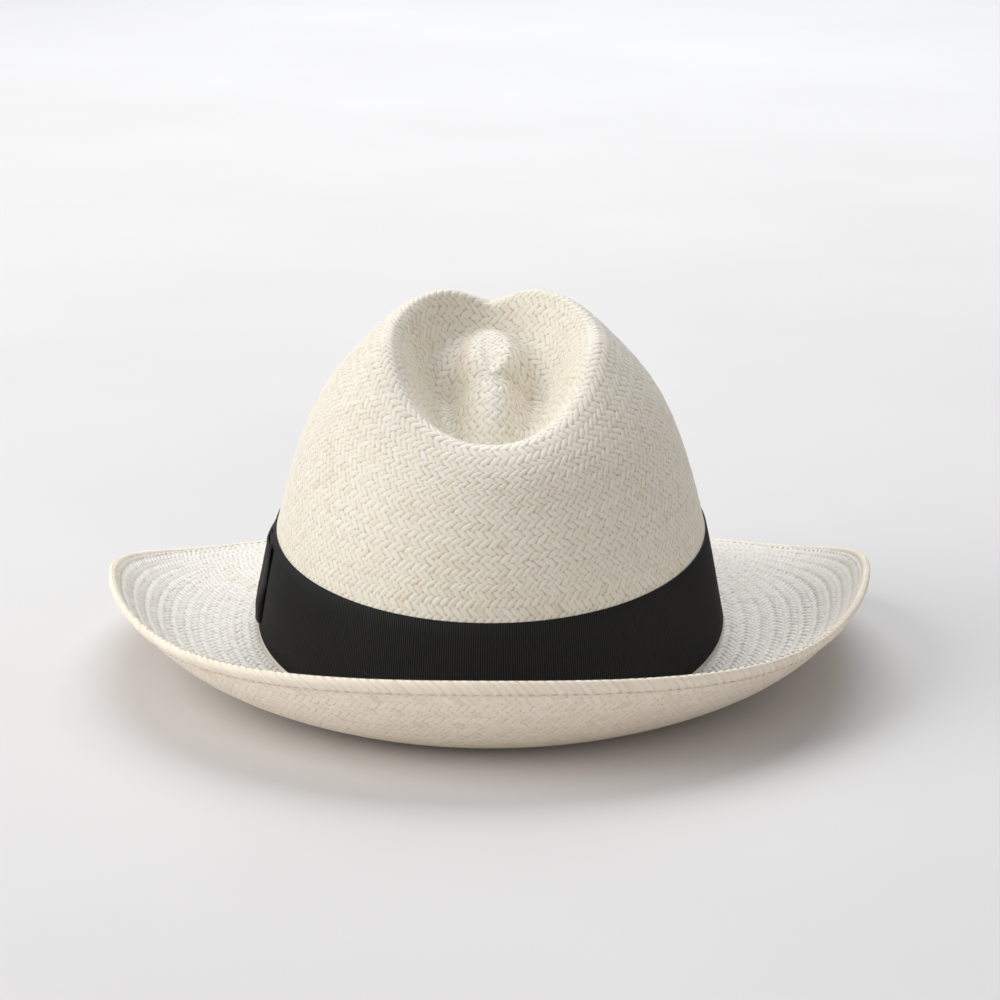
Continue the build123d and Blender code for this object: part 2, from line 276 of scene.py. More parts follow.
def ranged(tree, value, low, high, to_low, to_high):
    node = add(tree, "ShaderNodeMapRange", None, i0=value, i1=low, i2=high, i3=to_low, i4=to_high)
    return node.outputs[0]


def noise(tree, vector, scale, detail=2.0, roughness=0.5):
    node = add(tree, "ShaderNodeTexNoise", None, Vector=vector, Scale=scale, Detail=detail,
               Roughness=roughness)
    return node.outputs[0]


def stretched(tree, vector, scale):
    return add(tree, "ShaderNodeMapping", None, Vector=vector, Scale=scale).outputs[0]


def ramp(tree, factor, stops):
    node = add(tree, "ShaderNodeValToRGB", None, Fac=factor)
    elements = node.color_ramp.elements
    while len(elements) < len(stops):
        elements.new(0.5)
    for element, (place, colour) in zip(elements, stops):
        element.position = place
        element.color = (*colour, 1)
    return node.outputs[0]


def straw_material(name, tint, gap_shade_colour=(0.42, 0.36, 0.28, 1), gap_shade_share=0.75):
    """Split palm straw: each strand has its own cream tone and fine fibres along it, and the gaps between
    the floats are darkened as painted shade.
    """
    material, tree, surface = new_material(name)
    tone = ramp(tree, ranged(tree, attribute(tree, "tone"), -1, 1, 0, 1),
                [(0.0, (0.74, 0.67, 0.53)), (0.12, (0.80, 0.73, 0.61)), (0.35, (0.84, 0.79, 0.68)),
                 (0.65, (0.86, 0.82, 0.72)), (0.88, (0.83, 0.75, 0.67)), (1.0, (0.89, 0.86, 0.79))])
    fibre = noise(tree, stretched(tree, attribute(tree, "fibre", "Vector"), (3.4, 0.30, 1.0)), 2.2, 3.0)
    patches = noise(tree, object_place(tree), 38.0, 3.0, 0.6)
    # The tint multiplies the strand tones; the brim-top and underside copies use it for painted light.
    colour = mixed(tree, 1.0, tone, tint, "MULTIPLY")
    colour = mixed(tree, ranged(tree, fibre, 0.3, 0.72, 0.0, 0.16), colour, (0.60, 0.50, 0.36, 1))
    colour = mixed(tree, ranged(tree, patches, 0.3, 0.75, 0.0, 0.14), colour, (0.72, 0.64, 0.50, 1))
    # Painted shade: deep in the gaps between the floats the colour darkens towards the gap colour, by at
    # most the gap share.
    gap = ranged(tree, attribute(tree, "gap"), 0.0, 1.0, 0.0, gap_shade_share)
    colour = mixed(tree, gap, colour, gap_shade_colour)
    colour_by(tree, surface, colour)
    roughness = ranged(tree, fibre, 0.3, 0.7, 0.44, 0.62)
    tree.links.new(roughness, surface.inputs["Roughness"])
    surface.inputs["Specular IOR Level"].default_value = 0.38
    bumped(tree, surface, fibre, 0.5, 0.00008)
    return material


def ribbon_material(name, colour):
    """Grosgrain: fine ribs with a painted highlight on each rib's crown and painted shade between them,
    with a little lint.
    """
    material, tree, surface = new_material(name)
    rib = attribute(tree, "rib")
    place = object_place(tree)
    weave = noise(tree, place, 2600.0, 2.0)
    patches = noise(tree, place, 45.0, 3.0)
    # Painted light on the ribs: light is the highlight colour on each rib's crown, dark the painted shade
    # between ribs and on the band's hidden side.
    light = tuple(min(1.0, part * 1.5 + 0.014) for part in colour)
    dark = tuple(part * 0.15 for part in colour)
    shade = mixed(tree, ranged(tree, rib, -0.9, 0.9, 0.0, 1.0), (*dark, 1), (*light, 1))
    shade = mixed(tree, ranged(tree, weave, 0.5, 0.75, 0.0, 0.35), shade, (*light, 1))
    shade = mixed(tree, ranged(tree, patches, 0.35, 0.7, 0.0, 0.25), shade, (*colour, 1))
    colour_by(tree, surface, shade)
    tree.links.new(ranged(tree, weave, 0.3, 0.7, 0.62, 0.8), surface.inputs["Roughness"])
    surface.inputs["Specular IOR Level"].default_value = 0.2
    surface.inputs["Sheen Weight"].default_value = 0.04
    surface.inputs["Sheen Roughness"].default_value = 0.4
    bumped(tree, surface, weave, 0.35, 0.00006)
    return material


def thread_material(name, colour):
    """Twisted sewing thread."""
    material, tree, surface = new_material(name)
    twist = noise(tree, object_place(tree), 3200.0, 2.0)
    dark = tuple(part * 0.6 for part in colour)
    shade = mixed(tree, ranged(tree, twist, 0.35, 0.65, 0, 1), (*dark, 1), (*colour, 1))
    colour_by(tree, surface, shade)
    surface.inputs["Roughness"].default_value = 0.75
    bumped(tree, surface, twist, 0.5, 0.0001)
    return material


def leather_material(name, colour):
    """Thin smooth leather with a fine pebble grain and slightly worn tone."""
    material, tree, surface = new_material(name)
    place = object_place(tree)
    grain = add(tree, "ShaderNodeTexVoronoi", {"feature": "DISTANCE_TO_EDGE"}, Vector=place,
                Scale=900.0).outputs["Distance"]
    patches = noise(tree, place, 60.0, 4.0, 0.6)
    dark = tuple(part * 0.62 for part in colour)
    shade = mixed(tree, ranged(tree, patches, 0.3, 0.7, 0.0, 1.0), (*colour, 1), (*dark, 1))
    shade = mixed(tree, ranged(tree, grain, 0.0, 0.08, 0.35, 0.0), shade, (*dark, 1))
    colour_by(tree, surface, shade)
    tree.links.new(ranged(tree, patches, 0.3, 0.7, 0.38, 0.55), surface.inputs["Roughness"])
    bumped(tree, surface, grain, 0.4, 0.0001)
    return material


straw_look = straw_material("straw", (0.99, 0.985, 0.975, 1))
# Painted light: the brim's top copy is tinted brighter and bluer as a painted cool sheen from above and
# behind, and its gaps get darker painted shade.
straw_brim_cool_sheen_look = straw_material("straw_brim", (1.03, 1.045, 1.10, 1), (0.33, 0.31, 0.28, 1), 0.9)
# Painted light: the underside copy is tinted brighter as painted bounce light from the floor, with less
# painted gap shade; the hem uses it too.
straw_under_bounce_light_look = straw_material("straw_underside", (1.14, 1.09, 1.06, 1), gap_shade_share=0.45)
straw_inside_look = straw_material("straw_inside", (0.97, 0.94, 0.88, 1))
ribbon_look = ribbon_material("ribbon", (0.009, 0.009, 0.0088))
black_thread_look = thread_material("black_thread", (0.012, 0.012, 0.012))
cream_thread_look = thread_material("cream_thread", (0.80, 0.73, 0.60))
leather_look = leather_material("sweatband_leather", (0.56, 0.38, 0.23))
tape_look = ribbon_material("seam_tape", (0.50, 0.38, 0.25))


# ---- Mesh helpers -------------------------------------------------------------------------------
def new_object(name, data):
    made = bpy.data.objects.new(name, data)
    bpy.context.scene.collection.objects.link(made)
    return made


def make_mesh(name, points, faces, material, attributes=None):
    """A smooth-shaded piece on the hat's one body, from arrays of points and of quads."""
    mesh = bpy.data.meshes.new(name)
    mesh.vertices.add(len(points))
    mesh.vertices.foreach_set("co", np.ascontiguousarray(points, dtype=np.float32).ravel())
    mesh.loops.add(faces.size)
    mesh.loops.foreach_set("vertex_index", faces.astype(np.int32).ravel())
    mesh.polygons.add(len(faces))
    mesh.polygons.foreach_set("loop_start", np.arange(0, faces.size, 4, dtype=np.int32))
    mesh.polygons.foreach_set("use_smooth", np.ones(len(faces), dtype=bool))
    for label, values in (attributes or {}).items():
        vector = values.ndim > 1
        layer = mesh.attributes.new(label, "FLOAT_VECTOR" if vector else "FLOAT", "POINT")
        layer.data.foreach_set("vector" if vector else "value",
                               np.ascontiguousarray(values, dtype=np.float32).ravel())
    mesh.update(calc_edges=True)
    mesh.validate()
    piece = new_object(name, mesh)
    mesh.materials.append(material)
    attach(piece, "root")
    return piece


def grid_faces(rows, columns, closed_columns=True, closed_rows=False, flip=False):
    """Quads of a grid of points, with its first or last edges joined where it is closed."""
    row = np.arange(rows if closed_rows else rows - 1)[:, None]
    column = np.arange(columns if closed_columns else columns - 1)[None]
    next_row, next_column = (row + 1) % rows, (column + 1) % columns
    corners = [row * columns + column, row * columns + next_column,
               next_row * columns + next_column, next_row * columns + column]
    if flip:
        corners.reverse()
    return np.stack(corners, -1).reshape(-1, 4)


def grid_normals(points):
    """Unit normals of a closed ring grid, up and outwards on the top of the hat."""
    round_step = np.roll(points, -1, 1) - np.roll(points, 1, 1)
    out_step = np.gradient(points, axis=0)
    normal = np.cross(round_step, out_step)
    return normal / np.maximum(np.linalg.norm(normal, axis=-1, keepdims=True), 1e-12)


# ---- Weave --------------------------------------------------------------------------------------
PITCH = 3.05                     # one float round the hat, and one row of floats, mm
SLANT = 0.76                     # how far a strand moves sideways over one row, in floats
REACH = (0.60, 0.62)             # half the length of a float in even and odd rows, in rows
LOW_ROW = 0.74                   # the odd rows' relief beside the even ones'
CHANCE = random.random((4, 65536))


def chance(kind, row, number):
    """A fixed random value from 0 to 1 for one float or one strand, looked up by large steps."""
    return CHANCE[kind, (row * 9973 + number * 131).astype(int) & 65535]


def weave(share, v, counts):
    """Herringbone straw at a share of the way round and v rows outwards from the hat's middle.

    Gives the relief from 0 to 1, how deep the place is in a gap, the strand's tone from -1 to 1,
    and fibre coordinates: across the strand, along it and a number for the strand."""
    relief = np.full(share.shape, -1.0)
    tone, across, along, strand = (np.zeros(share.shape) for _ in range(4))
    here = np.floor(v)
    for step in (-1, 0, 1):
        row = np.clip(here + step, 0, len(counts) - 1)
        cells = counts[row.astype(int)]
        even = row % 2 == 0
        lean = np.where(even, 1.0, -1.0)
        time = v - here - step - 0.5
        lane = share * cells - SLANT * lean * time + np.where(even, 0.0, 0.5)
        number = np.floor(lane)
        side = (lane - number - 0.5) * 2
        number = number % cells
        side = side + (chance(0, row, number) - 0.5) * (0.18 + 0.5 * time)
        reach = np.where(even, *REACH) + (chance(1, row, number) - 0.5) * 0.14
        bow = 1 - np.clip(np.abs(time) / reach, 0, 1) ** 2
        width = bow ** 0.4 * 1.03 + 1e-6
        body = np.clip(1 - (np.abs(side) / width) ** 3.2, -1, 1)
        high = np.where(even, 1.0, LOW_ROW) * (0.86 + 0.14 * chance(2, row, number))
        level = np.where(bow > 0, body * bow ** 0.45 * high, -1)
        better = level > relief
        thread = np.where(even, number - row, number + row + 7000) % 16381
        relief = np.where(better, level, relief)
        tone = np.where(better, 0.75 * chance(3, row % 2, thread) + 0.25 * chance(3, row, number), tone)
        across = np.where(better, side, across)
        along = np.where(better, time * PITCH * 1.41, along)
        strand = np.where(better, thread % 97, strand)
    relief = np.clip(relief, 0, 1)
    # How deep a place lies between floats; the straw materials darken it as painted shade.
    gap = np.clip(1 - relief / 0.38, 0, 1) ** 1.3
    return relief, gap, tone * 2 - 1, np.stack([across, along, strand * 3.7], -1)


def ring_length(radius):
    """Length round each ring given at the dense azimuths."""
    return np.hypot(np.roll(radius, -1, 1) - radius, radius * DENSE_STEP).sum(1)


def cell_counts(lengths):
    """Floats round each row of the weave: strands are added outwards, where they would part."""
    widest, new = PITCH * 1.14, PITCH * 0.92
    counts, current = [], 0
    for size in lengths:
        if current == 0 or size / current > widest:
            current = max(8, 2 * round(size / new / 2))
        counts.append(current)
    return np.array(counts)


def drift(azimuth, seed, waves=(2, 3, 5, 9, 14)):
    """A smooth random wander round the hat, within about one."""
    local = np.random.default_rng(seed)
    total = 0
    for wave in waves:
        size = sin(local.random() * 6) / wave ** 0.5
        total = total + size * np.sin(wave * azimuth + local.random() * 6.28)
    return total


def woven_pieces(names, path, first_row, last_row, grain, depth, material, inside=False, rows_at=None):
    """Woven rings cut into pieces. path(rows) gives radius and height at the dense azimuths.

    grain is the spacing of the points and depth the relief, both in millimetres. rows_at gives the
    weave's own place at a ring and an azimuth where its rows don't follow the rings."""
    cuts = np.linspace(first_row, last_row, len(names) + 1)
    way = -1.0 if inside else 1.0
    for name, start, end in zip(names, cuts, cuts[1:]):
        v = np.linspace(start, end, max(2, round((end - start) * PITCH / grain)) + 1)
        radius, height = path(v)
        columns = round(ring_length(radius[-1:])[0] / grain)
        ring, level, azimuth = evenly_round(radius, height, columns)
        points = stand(ring, level, azimuth)
        share = (np.arange(columns) / columns)[None] + 0 * ring
        v = v[:, None] + 0 * ring
        if rows_at:
            v, share = rows_at(v, share, azimuth)
        # Hand weaving wanders a little, except near the middle, and the relief fades under the hem.
        wander = 0.16 * drift(azimuth, 3) * np.sin(v * 0.21) + 0.10 * drift(azimuth, 5, (11, 17, 23))
        wander = wander * np.clip(v / 12, 0, 1)
        share = share + 0.0004 * np.sin(v * 0.9 + 2 * np.sin(azimuth * 3))
        relief, gap, tone, fibre = weave(share, v + wander, COUNTS)
        relief = relief * np.clip((edge_row + 0.2 - v) / 1.2, 0.2, 1)
        points = points + grid_normals(points) * (way * relief * depth * MM)[..., None]
        piece = make_mesh(name, points.reshape(-1, 3), grid_faces(len(v), columns, flip=inside), material,
                          {"gap": gap.ravel(), "tone": tone.ravel(),
                                    "fibre": fibre.reshape(-1, 3)})
        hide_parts("straw_body")


def plain_straw(name, radius, height, columns, flip=False):
    """A plain strip of straw where nothing of the weave shows."""
    ring, level, azimuth = evenly_round(radius, height, columns)
    # A steady 0.3 of the straw materials' painted gap shade, with no weave.
    plain = {"gap": np.full(ring.size, 0.3), "tone": np.zeros(ring.size),
             "fibre": np.stack([ring, level, azimuth], -1).reshape(-1, 3)}
    piece = make_mesh(name, stand(ring, level, azimuth).reshape(-1, 3),
                      grid_faces(len(radius), columns, flip=flip), straw_look, plain)
    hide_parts("straw_body")


# ---- Straw: crown -------------------------------------------------------------------------------
stations_r, stations_h = crown_stations(DENSE)
knots = np.concatenate([[0], np.cumsum(np.hypot(np.diff(stations_r, axis=0),
                                                np.diff(stations_h, axis=0)).mean(1))])
CROWN_PITCH = 3.3                # mean over the crown, whose rear is lower than its front
top_row = round(knots[5] / CROWN_PITCH)
side_row = int(knots[-5] / CROWN_PITCH) + 1
brim_row = round(knots[-1] / CROWN_PITCH) + 1
edge_row = brim_row + round(BRIM_WIDTH / PITCH)


# How far the woven back lies from the front, and the row where the crown's inside gives way to the bend.
INSIDE, UNDERSIDE = STRAW - 0.3, STRAW - 0.25
inside_end = brim_row - 1.2


def crown_path(v, shift=0.0):
    """The crown's outside at some rows of the weave, or a surface inset from it."""
    where = np.clip(v * CROWN_PITCH, 0.02, knots[-1])
    return inset(spline_rows(knots, stations_r, where), spline_rows(knots, stations_h, where), shift)


def brim_path(v, shift=0.0):
    """The brim's top at some rows of the weave, or a surface inset from it."""
    return inset(*brim_rows(DENSE, (v - brim_row) / (edge_row - brim_row)), shift)


# On the creased top the rows keep their distance from the middle, measured over the surface.
TOP_STEPS = 319
fine_rows = np.linspace(0, top_row, TOP_STEPS + 1)
fine_r, fine_h = crown_path(fine_rows)
meridians = np.vstack([0 * fine_r[:1], np.cumsum(np.hypot(np.diff(fine_r, axis=0),
                                                          np.diff(fine_h, axis=0)), 0)])
meridians = meridians / meridians[-1:] * top_row


def top_rows_at(v, share, azimuth):
    """Rows at an even distance over the folds, and strands that leave the middle evenly."""
    column = (azimuth - DENSE[0]) / DENSE_STEP
    low = column.astype(int) % len(DENSE)
    spot = v / top_row * TOP_STEPS
    ring = np.minimum(spot.astype(int), TOP_STEPS - 1)
    part, turn = spot - ring, column - np.floor(column)
    high = (low + 1) % len(DENSE)
    found = ((meridians[ring, low] * (1 - turn) + meridians[ring, high] * turn) * (1 - part)
             + (meridians[ring + 1, low] * (1 - turn) + meridians[ring + 1, high] * turn) * part)
    settle = np.clip(found / top_row, 0, 1) ** 2
    return found, share * settle + (azimuth - DENSE[0]) / (2 * pi) * (1 - settle)


top_lengths = [2 * pi * np.mean([np.interp(row + 0.5, meridians[:, column], fine_r[:, column])
                                 for column in range(0, len(DENSE), 20)]) for row in range(top_row)]
COUNTS = cell_counts(np.concatenate([
    top_lengths, ring_length(crown_path(np.arange(top_row, brim_row) + 0.5)[0]),
    ring_length(brim_path(np.arange(brim_row, edge_row + 1) + 0.0)[0])]))


def straw_crown():
    """The crown's outside: creased top, side down to the ribbon, and the plain strip under it."""
    grain = 0.34
    woven_pieces(("crown_top_middle_weave", "crown_top_weave", "crown_top_rim_weave"), crown_path, 0,
                 top_row, grain, 0.30, straw_look, rows_at=top_rows_at)
    woven_pieces(("crown_upper_weave", "crown_middle_weave", "crown_lower_weave"), crown_path, top_row,
                 side_row, grain, 0.33, straw_look)
    where = np.linspace(side_row * CROWN_PITCH, knots[-1], 24)
    plain_straw("crown_base_straw", spline_rows(knots, stations_r, where),
                spline_rows(knots, stations_h, where), 360)


def straw_inside():
    """The crown's inside, seen from below, with a shallower weave."""
    grain = 0.62
    woven_pieces(("crown_inside_top",), lambda v: crown_path(v, INSIDE), 0, top_row, grain,
                 0.25, straw_inside_look, inside=True, rows_at=top_rows_at)
    woven_pieces(("crown_inside_side",), lambda v: crown_path(v, INSIDE), top_row,
                 inside_end, grain, 0.25, straw_inside_look, inside=True)


# ---- Straw: brim --------------------------------------------------------------------------------
def straw_brim():
    """The brim's top and underside, from inside the bend to under the folded edge."""
    grain = 0.42
    woven_pieces(("brim_inner_weave", "brim_middle_weave", "brim_outer_weave", "brim_rim_weave"),
                 brim_path, brim_row, edge_row, grain, 0.55, straw_brim_cool_sheen_look)
    start_r, start_h = brim_path(np.array([brim_row, brim_row + 0.1]))
    bend_r = np.vstack([side_radius(DENSE, 3.4), side_radius(DENSE, 2.0) + 0.1,
                        side_radius(DENSE, 2.0) + 0.5, start_r[:1]])
    bend_h = np.vstack([3.4 + 0 * DENSE, 1.8 + 0 * DENSE, 1.1 + 0 * DENSE, start_h[:1]])
    plain_straw("crown_bend_straw", bend_r, bend_h, 720)
    grain = 0.55
    woven_pieces(("brim_underside_inner", "brim_underside_middle", "brim_underside_outer"),
                 lambda v: brim_path(v, UNDERSIDE), brim_row, edge_row, grain, 0.20, straw_under_bounce_light_look,
                 inside=True)
    under_r, under_h = brim_path(np.array([brim_row, brim_row + 0.1]), UNDERSIDE)
    side_r, side_h = inset(*crown_path(np.array([brim_row - 2.0, inside_end])), INSIDE)
    plain_straw("crown_inside_bend", np.vstack([side_r[-1:], under_r[:1]]),
                np.vstack([side_h[-1:], under_h[:1]]), 720, flip=True)


RIM_START, RIM_STEPS = 0.88, 24  # the share of the brim's width that fine steps start at, and the steps


def brim_at(share):
    """Radius and height on the brim's top at one share of the width for each dense azimuth."""
    radius, height = brim_rows(DENSE, np.linspace(RIM_START, 1.0, RIM_STEPS + 1))
    place = np.clip((share - RIM_START) / (1 - RIM_START) * RIM_STEPS, 0, RIM_STEPS)
    low = np.minimum(place.astype(int), RIM_STEPS - 1)
    part = place - low
    column = np.arange(len(DENSE))
    return (radius[low, column] * (1 - part) + radius[low + 1, column] * part,
            height[low, column] * (1 - part) + height[low + 1, column] * part)


def brim_edge(out):
    """The brim's top at a distance outwards from its rim, and the way up from it there."""
    share = 1 + out / brim_width(DENSE)
    radius, height = brim_at(share)
    behind_r, behind_h = brim_at(share - 0.01)
    step_r, step_h = radius - behind_r, height - behind_h
    length = np.hypot(step_r, step_h)
    return radius, height, -step_h / length, step_r / length


def brim_hem():
    """The folded edge: straw wrapped over the rim and back under, in slanting strokes."""
    strokes = 300
    fine = 9
    columns = strokes * fine
    # Outwards from the rim and up from the brim's top: over the rim, then back along the underside.
    profile = [(-2.9, 0.05), (-2.5, 0.42), (-1.8, 0.56), (-1.1, 0.48), (-0.5, 0.20), (-0.15, -0.20),
               (0.0, -0.7), (-0.1, -1.2), (-0.45, -1.65), (-1.0, -1.95), (-1.6, -2.05), (-2.2, -2.08),
               (-2.8, -2.05), (-3.4, -2.0), (-4.0, -1.92), (-4.6, -1.8), (-5.1, -1.6), (-5.4, -1.3),
               (-5.5, -1.0)]
    rows_r, rows_h = [], []
    for out, up in profile:
        radius, height, up_r, up_h = brim_edge(out)
        rows_r.append(radius + up_r * up)
        rows_h.append(height + up_h * up)
    ring, level, azimuth = evenly_round(np.array(rows_r), np.array(rows_h), columns)
    points = stand(ring, level, azimuth)
    normals = grid_normals(points)
    length = np.concatenate([[0], np.cumsum(np.hypot(*np.diff(np.array(profile), axis=0).T))])
    run = (length / PITCH)[:, None]
    over = np.clip((length - 4.6) / 5.2, 0, 1)[:, None]
    u = (np.arange(columns) / fine)[None] + run * 0.7 + 0.14 * drift(azimuth, 8, (7, 12, 19))
    u = u + 0.25 * np.sin(over * pi)
    number = np.floor(u)
    side = (u - number - 0.5) * 2
    number = number % strokes
    side = side + (chance(0, 5, number) - 0.5) * 0.3
    body = np.clip(1 - np.abs(side) ** 2.2, 0, 1) * (0.6 + 0.4 * chance(0, 3, number))
    seam = 1 - 0.8 * np.exp(-((length - length[-1] + 1.3) / 0.45) ** 2)[:, None]
    ends = np.clip(np.minimum(length / 1.2, (length[-1] - length) / 0.6), 0, 1)[:, None]
    points = points + normals * ((body * seam - 0.35) * ends * 0.42 * MM)[..., None]
    # Painted shade: the gaps between strokes and the seam line where the fold meets the underside are
    # darkened through the gap attribute.
    gap = np.clip(1 - body / 0.35, 0, 1) * ends * 0.7 + (1 - seam) * 0.5
    attributes = {"gap": gap.ravel(), "tone": (chance(3, 1, number) * 1.4 - 0.7).ravel(),
                  "fibre": np.stack([side, run * PITCH + 0 * side, number * 3.7], -1).reshape(-1, 3)}
    piece = make_mesh("brim_hem", points.reshape(-1, 3), grid_faces(len(profile), columns),
                      straw_under_bounce_light_look, attributes)
    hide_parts("straw_body")


# ---- Thread -------------------------------------------------------------------------------------
def tube(path, radius, sides=6):
    """Points and quads of a closed tube along a short path of points, with rounded-in ends."""
    path = np.asarray(path)
    count = len(path)
    along = np.gradient(path, axis=0)
    along = along / np.linalg.norm(along, axis=1, keepdims=True)
    helper = np.where(np.abs(along[:, 2:3]) > 0.9, [[1.0, 0, 0]], [[0, 0, 1.0]])
    first = np.cross(along, helper)
    first = first / np.linalg.norm(first, axis=1, keepdims=True)
    second = np.cross(along, first)
    taper = np.ones(count)
    taper[0] = taper[-1] = 0.35
    angle = np.arange(sides) / sides * 2 * pi
    ring = (np.cos(angle)[None, :, None] * first[:, None] + np.sin(angle)[None, :, None] * second[:, None])
    points = path[:, None] + ring * (radius * taper)[:, None, None]
    return points.reshape(-1, 3), grid_faces(count, sides)


def join_tubes(name, tubes, material, slot, *nodes):
    """One piece from many small tubes."""
    points, faces, start = [], [], 0
    for vertices, quads in tubes:
        points.append(vertices)
        faces.append(quads + start)
        start += len(vertices)
    piece = make_mesh(name, np.vstack(points), np.vstack(faces), material)
    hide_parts(*nodes)
    return piece


def ring_stitches(name, radius, height, normal_r, normal_h, count, length_share, thick, material, slot,
                  node):
    """Running stitches round the hat: each dives into the cloth at both its ends."""
    places = count * 8           # eight places round the hat to a stitch, and seven points along it
    ring, level, azimuth = evenly_round(radius[None], height[None], places)
    normals = np.array([np.interp(azimuth[0], np.append(DENSE, DENSE[0] + 2 * pi),
                                  np.append(part, part[0])) for part in (normal_r, normal_h)])
    hump = (np.sin(np.arange(7) / 6 * pi) ** 0.5 - 0.75) * thick * 2.2
    tubes = []
    for stitch in range(count):
        at = stitch * 8 + np.arange(7) * length_share * 7 / 6 + 0.4
        low = at.astype(int) % places
        part = at - at.astype(int)
        high = (low + 1) % places
        turn = azimuth[0, low] * (1 - part) + np.where(high < low, azimuth[0, high] + 2 * pi,
                                                       azimuth[0, high]) * part
        radius_here = ring[0, low] * (1 - part) + ring[0, high] * part
        level_here = level[0, low] * (1 - part) + level[0, high] * part
        tubes.append(tube(stand(radius_here + normals[0, low] * hump, level_here + normals[1, low] * hump,
                                turn), thick * MM))
    return join_tubes(name, tubes, material, slot, node)


def hem_stitches():
    """The hem's lockstitch: one line of thread on the brim's top and one below it."""
    radius, height, up_r, up_h = brim_edge(0.7 - HEM_WIDTH)
    for name, lift, side in (("hem_stitching_top", 0.34, 1), ("hem_stitching_under", -2.02, -1)):
        ring_stitches(name, radius + up_r * lift, height + up_h * lift, up_r * side, up_h * side,
                      250, 0.62, 0.17, cream_thread_look, "cream_thread", "hem_stitching")


# ---- Ribbon -------------------------------------------------------------------------------------
RIB = 0.80                       # one rib of the grosgrain, mm


def hat_band():
    """The ribbon round the crown, a closed loop whose fine ribs stand upright."""
    ribs, fine = 712, 6          # ribs round the band, and points to each
    columns = ribs * fine
    heights = np.linspace(BAND_BOTTOM, BAND_TOP, 9)
    inner, outer = CLEARANCE, CLEARANCE + RIBBON
    profile = [(BAND_BOTTOM + 0.1, inner)] + [(level, outer) for level in heights]
    profile += [(BAND_TOP + 0.12, outer - 0.15), (BAND_TOP + 0.1, inner + 0.1)]
    profile += [(level, inner) for level in heights[::-2]][:-1]
    rows_r = np.array([side_radius(DENSE, level) + out for level, out in profile])
    rows_h = np.array([level + 0 * DENSE for level, _ in profile])
    ring, level, azimuth = evenly_round(rows_r, rows_h, columns)
    rib = np.cos(np.arange(columns) / fine * 2 * pi)[None] * np.ones((len(profile), 1))
    on_face = np.array([float(out > outer - 0.05) for _, out in profile])[:, None]
    middle = np.array([sin((min(max(height, BAND_BOTTOM), BAND_TOP) - BAND_BOTTOM)
                           / (BAND_TOP - BAND_BOTTOM) * pi) for height, _ in profile])[:, None]
    swell = 0.10 * drift(azimuth, 21, (3, 5, 8, 13)) * middle
    selvedge = 0.6 + 0.4 * middle ** 0.3
    ring = ring + on_face * (0.15 * rib * selvedge + swell)
    level = level + 0.12 * drift(azimuth, 22, (2, 3, 7)) * (level > BAND_TOP - 1)
    points = stand(ring, level, azimuth)
    # rib: each rib's phase on the outer face, which the ribbon material paints as highlight and shade;
    # elsewhere -1, painted full shade on the band's inner side and edges.
    piece = make_mesh("ribbon_band", points.reshape(-1, 3),
                      grid_faces(len(profile), columns, closed_rows=True, flip=True), ribbon_look,
                      {"rib": (rib * on_face - (1 - on_face)).ravel()})
    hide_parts("hatband")
    return piece


# The bow has its own places: a runs forwards along the band, h up the crown's side, o outwards.
BOW_AZIMUTH, BOW_REACH = radians(280.0), radians(23.0)
BOW_LOW, BOW_HIGH = 6.5, 36.0
BOW_LEVEL = (BOW_LOW + BOW_HIGH) / 2
BOW_HALF = 35.0                  # from the knot's middle to a loop's end
BOW_PINCH = 0.32                 # share of its height that the bow loses at its knot
BOW_RIBBON = 0.4
KNOT_HALF = 5.6
# How far the bow's rear end stands off the band, as levels up the crown and as distances.
LOW_FLARE = ([4, 6.5, 9, 12, 17, 21, 24], [0, 0.6, 1.3, 1.7, 1.4, 0.4, 0])
HIGH_FLARE = ([22, 26, 29.5, 34, 37], [0, 0.1, 0.5, 1.1, 1.0])


def bow_height(a):
    """Share of its full height that the bow has at a place along the band."""
    return 1 - BOW_PINCH * (1 - np.clip(np.abs(a) / BOW_HALF, 0, 1)) ** 0.7


def bow_space(a, h, o):
    """World points from the bow's own places, in millimetres. Its rear end flares off the band."""
    level = BOW_LEVEL + h
    rear = np.clip((-a - 10) / 20, 0, 1) ** 1.2
    low, high = np.interp(level, *LOW_FLARE), np.interp(level, *HIGH_FLARE)
    flare = low * rear * np.clip((o - 0.4) / 0.4, 0, 1) + high * np.clip((-a - 24) / 9, 0, 1)
    azimuth = BOW_AZIMUTH + a / BOW_HALF * BOW_REACH
    return stand(side_radius(azimuth, level) + CLEARANCE + RIBBON + o + flare, level, azimuth)


def smooth_path(points, count):
    """A smooth open path through a few points, evenly stepped."""
    points = np.asarray(points, dtype=float)
    chord = np.concatenate([[0], np.cumsum(np.linalg.norm(np.diff(points, axis=0), axis=1))])
    fine = spline_rows(chord, points, np.linspace(0, chord[-1], 400))
    length = np.concatenate([[0], np.cumsum(np.linalg.norm(np.diff(fine, axis=0), axis=1))])
    even = np.linspace(0, length[-1], count)
    return np.stack([np.interp(even, length, fine[:, axis]) for axis in range(2)], -1), length[-1]


def end_caps(rows, columns):
    """Quads that close both ends of a long grid whose first and last rows meet."""
    caps = []
    for column, turn in ((0, 1), (columns - 1, -1)):
        loop = [row * columns + column for row in range(rows)]
        for i in range(rows // 2 - 1):
            caps.append([loop[-1 - i], loop[-2 - i], loop[i + 1], loop[i]][::turn])
    return np.array(caps)


